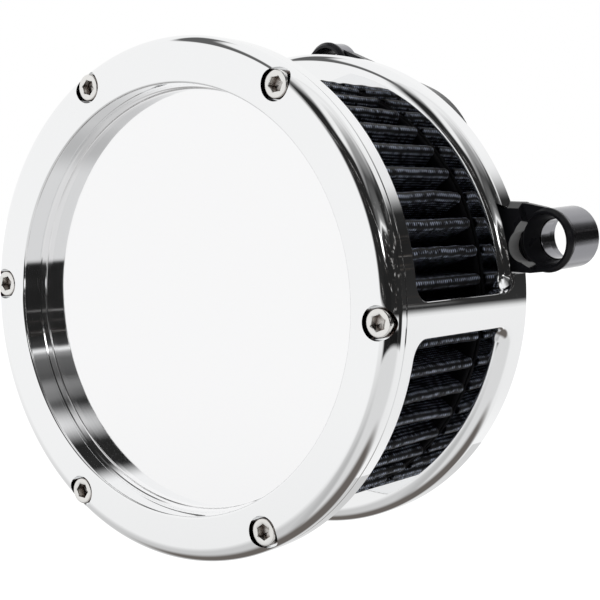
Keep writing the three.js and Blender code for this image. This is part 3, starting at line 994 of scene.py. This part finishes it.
def make_backing_plate():
    """Six pieces for one CAD node."""
    arm = make_right_arm()
    arm.name = "backing_arm_right"
    smooth_by_bevel(arm)
    finish_piece(arm, "base", ["backing_plate"], ANODISED)
    make_pocket_liner()
    bracket = make_bracket()
    smooth_by_bevel(bracket)
    finish_piece(bracket, "base", [], ANODISED)
    for name, eye in (("backing_eye_right", EYE_RIGHT), ("backing_eye_top", EYE_TOP)):
        ring = eye_ring(name, eye)
        smooth(ring, 30)
        finish_piece(ring, "base", [], ANODISED)
    finish_piece(make_disc(), "base", [], ANODISED)


def make_sleeves():
    """Bare metal barrels behind the eyes. A long one is counterbored from its back end."""
    step_at = 9.0
    for side, eye in (("right", EYE_RIGHT), ("top", EYE_TOP)):
        back = eye[3]
        front = RIM_BACK + 0.1
        profile = [(SLEEVE_SEAT_R, front), (SLEEVE_R, front), (SLEEVE_R, back)]
        if back > step_at:
            profile += [(8.5, back), (8.5, step_at), (SLEEVE_BORE_R, step_at)]
        else:
            profile += [(SLEEVE_BORE_R, back)]
        profile += [(SLEEVE_BORE_R, MOUTH_BACK + 0.3), (SLEEVE_SEAT_R, MOUTH_BACK + 0.3)]
        sleeve = eye_lathe(f"breather_barrel_{side}", ring_profile(profile, 0.25, 3), eye)
        smooth(sleeve, 30)
        finish_piece(sleeve, "base", [f"breather_sleeve_{side}"], SLEEVE)


def coat_cad_nodes():
    """Materials for the CAD nodes that no piece replaces."""
    for name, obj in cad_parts.items():
        if "bolt" in name or "cage_screw" in name or name == "filter_inner_screen":
            coat(obj, STEEL)
        elif name == "intake_gasket":
            coat(obj, RUBBER)


make_cover_ring()
make_cover_plate()
make_screws()
make_cage()
make_pleats()
make_caps()
make_backing_plate()
make_sleeves()
coat_cad_nodes()


# ---- studio ----
# brightness of the surroundings against elevation in degrees, in three directions
FRONT_WALL = [
    (-90, 0.50), (-30, 0.50), (-12, 0.80), (-4.2, 0.95), (-3, 0.03),
    (2, 0.02), (48, 0.02), (58, 0.30), (68, 0.7), (90, 0.95),
]
RIGHT_WALL = [
    (-90, 0.72), (-14.5, 0.72), (-13, 0.01), (-8.5, 0.01), (-7.3, 0.95), (-4.6, 0.95),
    (-3.2, 0.02), (18, 0.015), (24.5, 0.05), (26.5, 1.0), (28.5, 0.3), (32, 0.13),
    (44, 0.08), (50, 0.25), (58, 0.35), (66, 0.65), (78, 0.9),
]
REAR_WALL = [
    (-90, 0.80), (-4.5, 0.90), (-3, 0.03), (14, 0.015), (26, 0.03), (29, 0.12),
    (32, 0.03), (40, 0.06), (44, 0.30), (52, 0.6), (70, 0.9),
]
WHITE = 0.95
BLACK = 0.02
FLOOR_Z = -0.3
FLOOR_HALF = 6.0
CAMERA_PLACE = (0.3091, -0.3540, 0.0450)
CAMERA_RIGHT = (0.80169, 0.59704, 0.02899)
CAMERA_UP = (-0.07906, 0.05785, 0.99519)
CAMERA_LENS = 81.4


def make_floor():
    """A pale floor, well below the object. It is nearly white to the camera and isn't seen in the chrome."""
    corners = [(-1, -1), (1, -1), (1, 1), (-1, 1)]
    floor = add_object("floor", [(x * FLOOR_HALF, y * FLOOR_HALF, FLOOR_Z) for x, y in corners], [(0, 1, 2, 3)])
    material, tree, shader = new_material("floor", (0.93, 0.93, 0.93), 0.8, 0)
    glow = node(tree, "ShaderNodeEmission", Color=grey(1.0), Strength=1.15)
    path = node(tree, "ShaderNodeLightPath")
    mix = node(tree, "ShaderNodeMixShader")
    share = math_node(tree, "MULTIPLY", path.outputs["Is Camera Ray"], 0.93)
    tree.links.new(share, mix.inputs[0])
    tree.links.new(shader.outputs[0], mix.inputs[1])
    tree.links.new(glow.outputs[0], mix.inputs[2])
    tree.links.new(mix.outputs[0], tree.nodes["Material Output"].inputs["Surface"])
    floor.data.materials.append(material)
    floor.visible_glossy = False


def step(tree, value, low, high):
    """0 below low and 1 above high, smooth between; low may be above high."""
    made = tree.nodes.new("ShaderNodeMapRange")
    made.interpolation_type = "SMOOTHSTEP"
    flip = low > high
    made.inputs["From Min"].default_value = min(low, high)
    made.inputs["From Max"].default_value = max(low, high)
    made.inputs["To Min"].default_value = 1.0 if flip else 0.0
    made.inputs["To Max"].default_value = 0.0 if flip else 1.0
    tree.links.new(value, made.inputs["Value"])
    return made.outputs["Result"]


def mix_colors(tree, factor, a, b):
    """a where factor is 0, b where it is 1."""
    made = node(tree, "ShaderNodeMix", data_type="RGBA")
    tree.links.new(factor, made.inputs[0])
    for i, value in ((6, a), (7, b)):
        if isinstance(value, tuple):
            made.inputs[i].default_value = value
        else:
            tree.links.new(value, made.inputs[i])
    return made.outputs[2]


def lighten(tree, a, b):
    """The brighter of two colours."""
    made = node(tree, "ShaderNodeMix", data_type="RGBA", blend_type="LIGHTEN")
    made.inputs[0].default_value = 1.0
    tree.links.new(a, made.inputs[6])
    tree.links.new(b, made.inputs[7])
    return made.outputs[2]


def times(tree, *values):
    result = values[0]
    for value in values[1:]:
        result = math_node(tree, "MULTIPLY", result, value)
    return result


def make_world():
    """What the chrome mirrors. Azimuth is 0 in front of the cover and grows to the right, in degrees. The studio is
    white to the left and overhead, light below, and dark from the front round the right to the back, with one long
    lamp arching through the dark. The camera itself sees white."""
    world = bpy.data.worlds.new("studio")
    bpy.context.scene.world = world
    world.use_nodes = True
    tree = world.node_tree
    background = tree.nodes["Background"]
    where = node(tree, "ShaderNodeTexCoord")
    split = node(tree, "ShaderNodeSeparateXYZ")
    tree.links.new(where.outputs["Generated"], split.inputs[0])
    x, y, z = split.outputs
    azimuth = math_node(tree, "DEGREES", math_node(tree, "ARCTAN2", x, math_node(tree, "MULTIPLY", y, -1.0)))
    elevation = math_node(tree, "DEGREES", math_node(tree, "ARCSINE", z))
    # the right wall's streaks sink towards the front, so its lamp reads as an arch
    droop = math_node(tree, "MULTIPLY", step(tree, azimuth, 62, 2), math_node(tree, "MAXIMUM", elevation, 0.0))
    arched = math_node(tree, "ADD", elevation, math_node(tree, "MULTIPLY", droop, 1.3))

    def wall(stops, height):
        share = math_node(tree, "DIVIDE", math_node(tree, "ADD", height, 90.0), 180.0)
        return ramp(tree, share, [((angle + 90) / 180, grey(value)) for angle, value in stops])

    shade = mix_colors(tree, step(tree, azimuth, 4, 22), wall(FRONT_WALL, elevation), wall(RIGHT_WALL, arched))
    # the lamp is bright only in its middle
    ends = math_node(tree, "MAXIMUM", step(tree, azimuth, 38, 28), step(tree, azimuth, 78, 96))
    ends = times(tree, ends, step(tree, elevation, 2, 6), step(tree, elevation, 46, 38))
    shade = mix_colors(tree, ends, shade, grey(BLACK))
    shade = mix_colors(tree, step(tree, azimuth, 100, 128), shade, wall(REAR_WALL, elevation))
    rear_light = times(tree, step(tree, azimuth, 139, 148), step(tree, elevation, 20, 27))
    shade = mix_colors(tree, rear_light, shade, grey(0.85))
    # streaky clutter in the dark: noise stretched along the horizon
    stretch = node(tree, "ShaderNodeCombineXYZ")
    tree.links.new(math_node(tree, "MULTIPLY", azimuth, 0.04), stretch.inputs[0])
    tree.links.new(math_node(tree, "MULTIPLY", elevation, 0.30), stretch.inputs[1])
    streaks = node(tree, "ShaderNodeTexNoise", Scale=1.0, Detail=4.0, Roughness=0.7)
    tree.links.new(stretch.outputs[0], streaks.inputs["Vector"])
    stops = [(0.53, grey(0.0)), (0.59, (0.05, 0.045, 0.042, 1)), (0.66, grey(0.60))]
    clutter = ramp(tree, streaks.outputs["Fac"], stops)
    within = times(tree, step(tree, elevation, -3, 0), step(tree, elevation, 40, 26))
    shade = mix_colors(tree, within, shade, lighten(tree, shade, clutter))
    dark = times(tree, step(tree, azimuth, -24, -12), step(tree, azimuth, 176, 160))
    shade = mix_colors(tree, dark, grey(WHITE), shade)
    # in front on the right the dark reaches lower, and one small lamp stands in it
    near = times(tree, step(tree, azimuth, 56, 48), step(tree, azimuth, 12, 20))
    near = times(tree, near, step(tree, elevation, -14, -12.5), step(tree, elevation, 8, 2))
    shade = mix_colors(tree, near, shade, grey(0.015))
    spot = times(tree, step(tree, azimuth, 28, 31), step(tree, azimuth, 40, 37))
    spot = times(tree, spot, step(tree, elevation, 11, 13), step(tree, elevation, 19, 17))
    shade = mix_colors(tree, spot, shade, grey(3.0))
    # it reaches lower at the right rear as well
    low = times(tree, step(tree, azimuth, 100, 108), step(tree, azimuth, 138, 130))
    low = times(tree, low, step(tree, elevation, -15, -12), step(tree, elevation, 8, 4))
    shade = mix_colors(tree, low, shade, grey(BLACK))
    # a dark strip high up on the left
    strip = times(tree, step(tree, azimuth, -126, -112), step(tree, azimuth, -2, -20))
    strip = times(tree, strip, step(tree, elevation, 45, 49), step(tree, elevation, 64, 58))
    shade = mix_colors(tree, strip, shade, grey(0.12))
    # the floor's light grey to the left
    below = times(tree, step(tree, elevation, -8, -40), step(tree, azimuth, 0, -20))
    wall = mix_colors(tree, below, shade, grey(0.60))
    # dark ground beneath the object and behind it
    under = times(tree, step(tree, z, -0.62, -0.80), step(tree, y, -0.45, 0.0))
    wall = mix_colors(tree, under, wall, (0.14, 0.125, 0.115, 1))
    path = node(tree, "ShaderNodeLightPath")
    seen = mix_colors(tree, path.outputs["Is Camera Ray"], wall, grey(1.0))
    tree.links.new(seen, background.inputs["Color"])
    background.inputs["Strength"].default_value = 1.0


def make_key_light():
    """Soft light from the front left that brightens the matt pieces only."""
    data = bpy.data.lights.new("key", "SUN")
    data.energy = 1.1
    data.angle = 60 * DEG
    key = bpy.data.objects.new("key", data)
    bpy.context.scene.collection.objects.link(key)
    key.rotation_euler = Vector((0.35, 0.85, -0.40)).to_track_quat("-Z", "Y").to_euler()
    key.visible_glossy = False


def make_camera():
    """The photograph's view, 36.5 degrees to the right of straight ahead and 5.4 degrees above the axis."""
    data = bpy.data.cameras.new("camera")
    data.lens = CAMERA_LENS
    data.sensor_width = 36
    data.sensor_fit = "HORIZONTAL"
    camera = bpy.data.objects.new("camera", data)
    bpy.context.scene.collection.objects.link(camera)
    right = Vector(CAMERA_RIGHT)
    up = Vector(CAMERA_UP)
    rotation = Matrix((right, up, right.cross(up))).transposed()
    camera.matrix_world = Matrix.Translation(CAMERA_PLACE) @ rotation.to_4x4()
    bpy.context.scene.camera = camera


make_floor()
make_world()
make_key_light()
make_camera()
bpy.context.scene.view_settings.view_transform = "Standard"
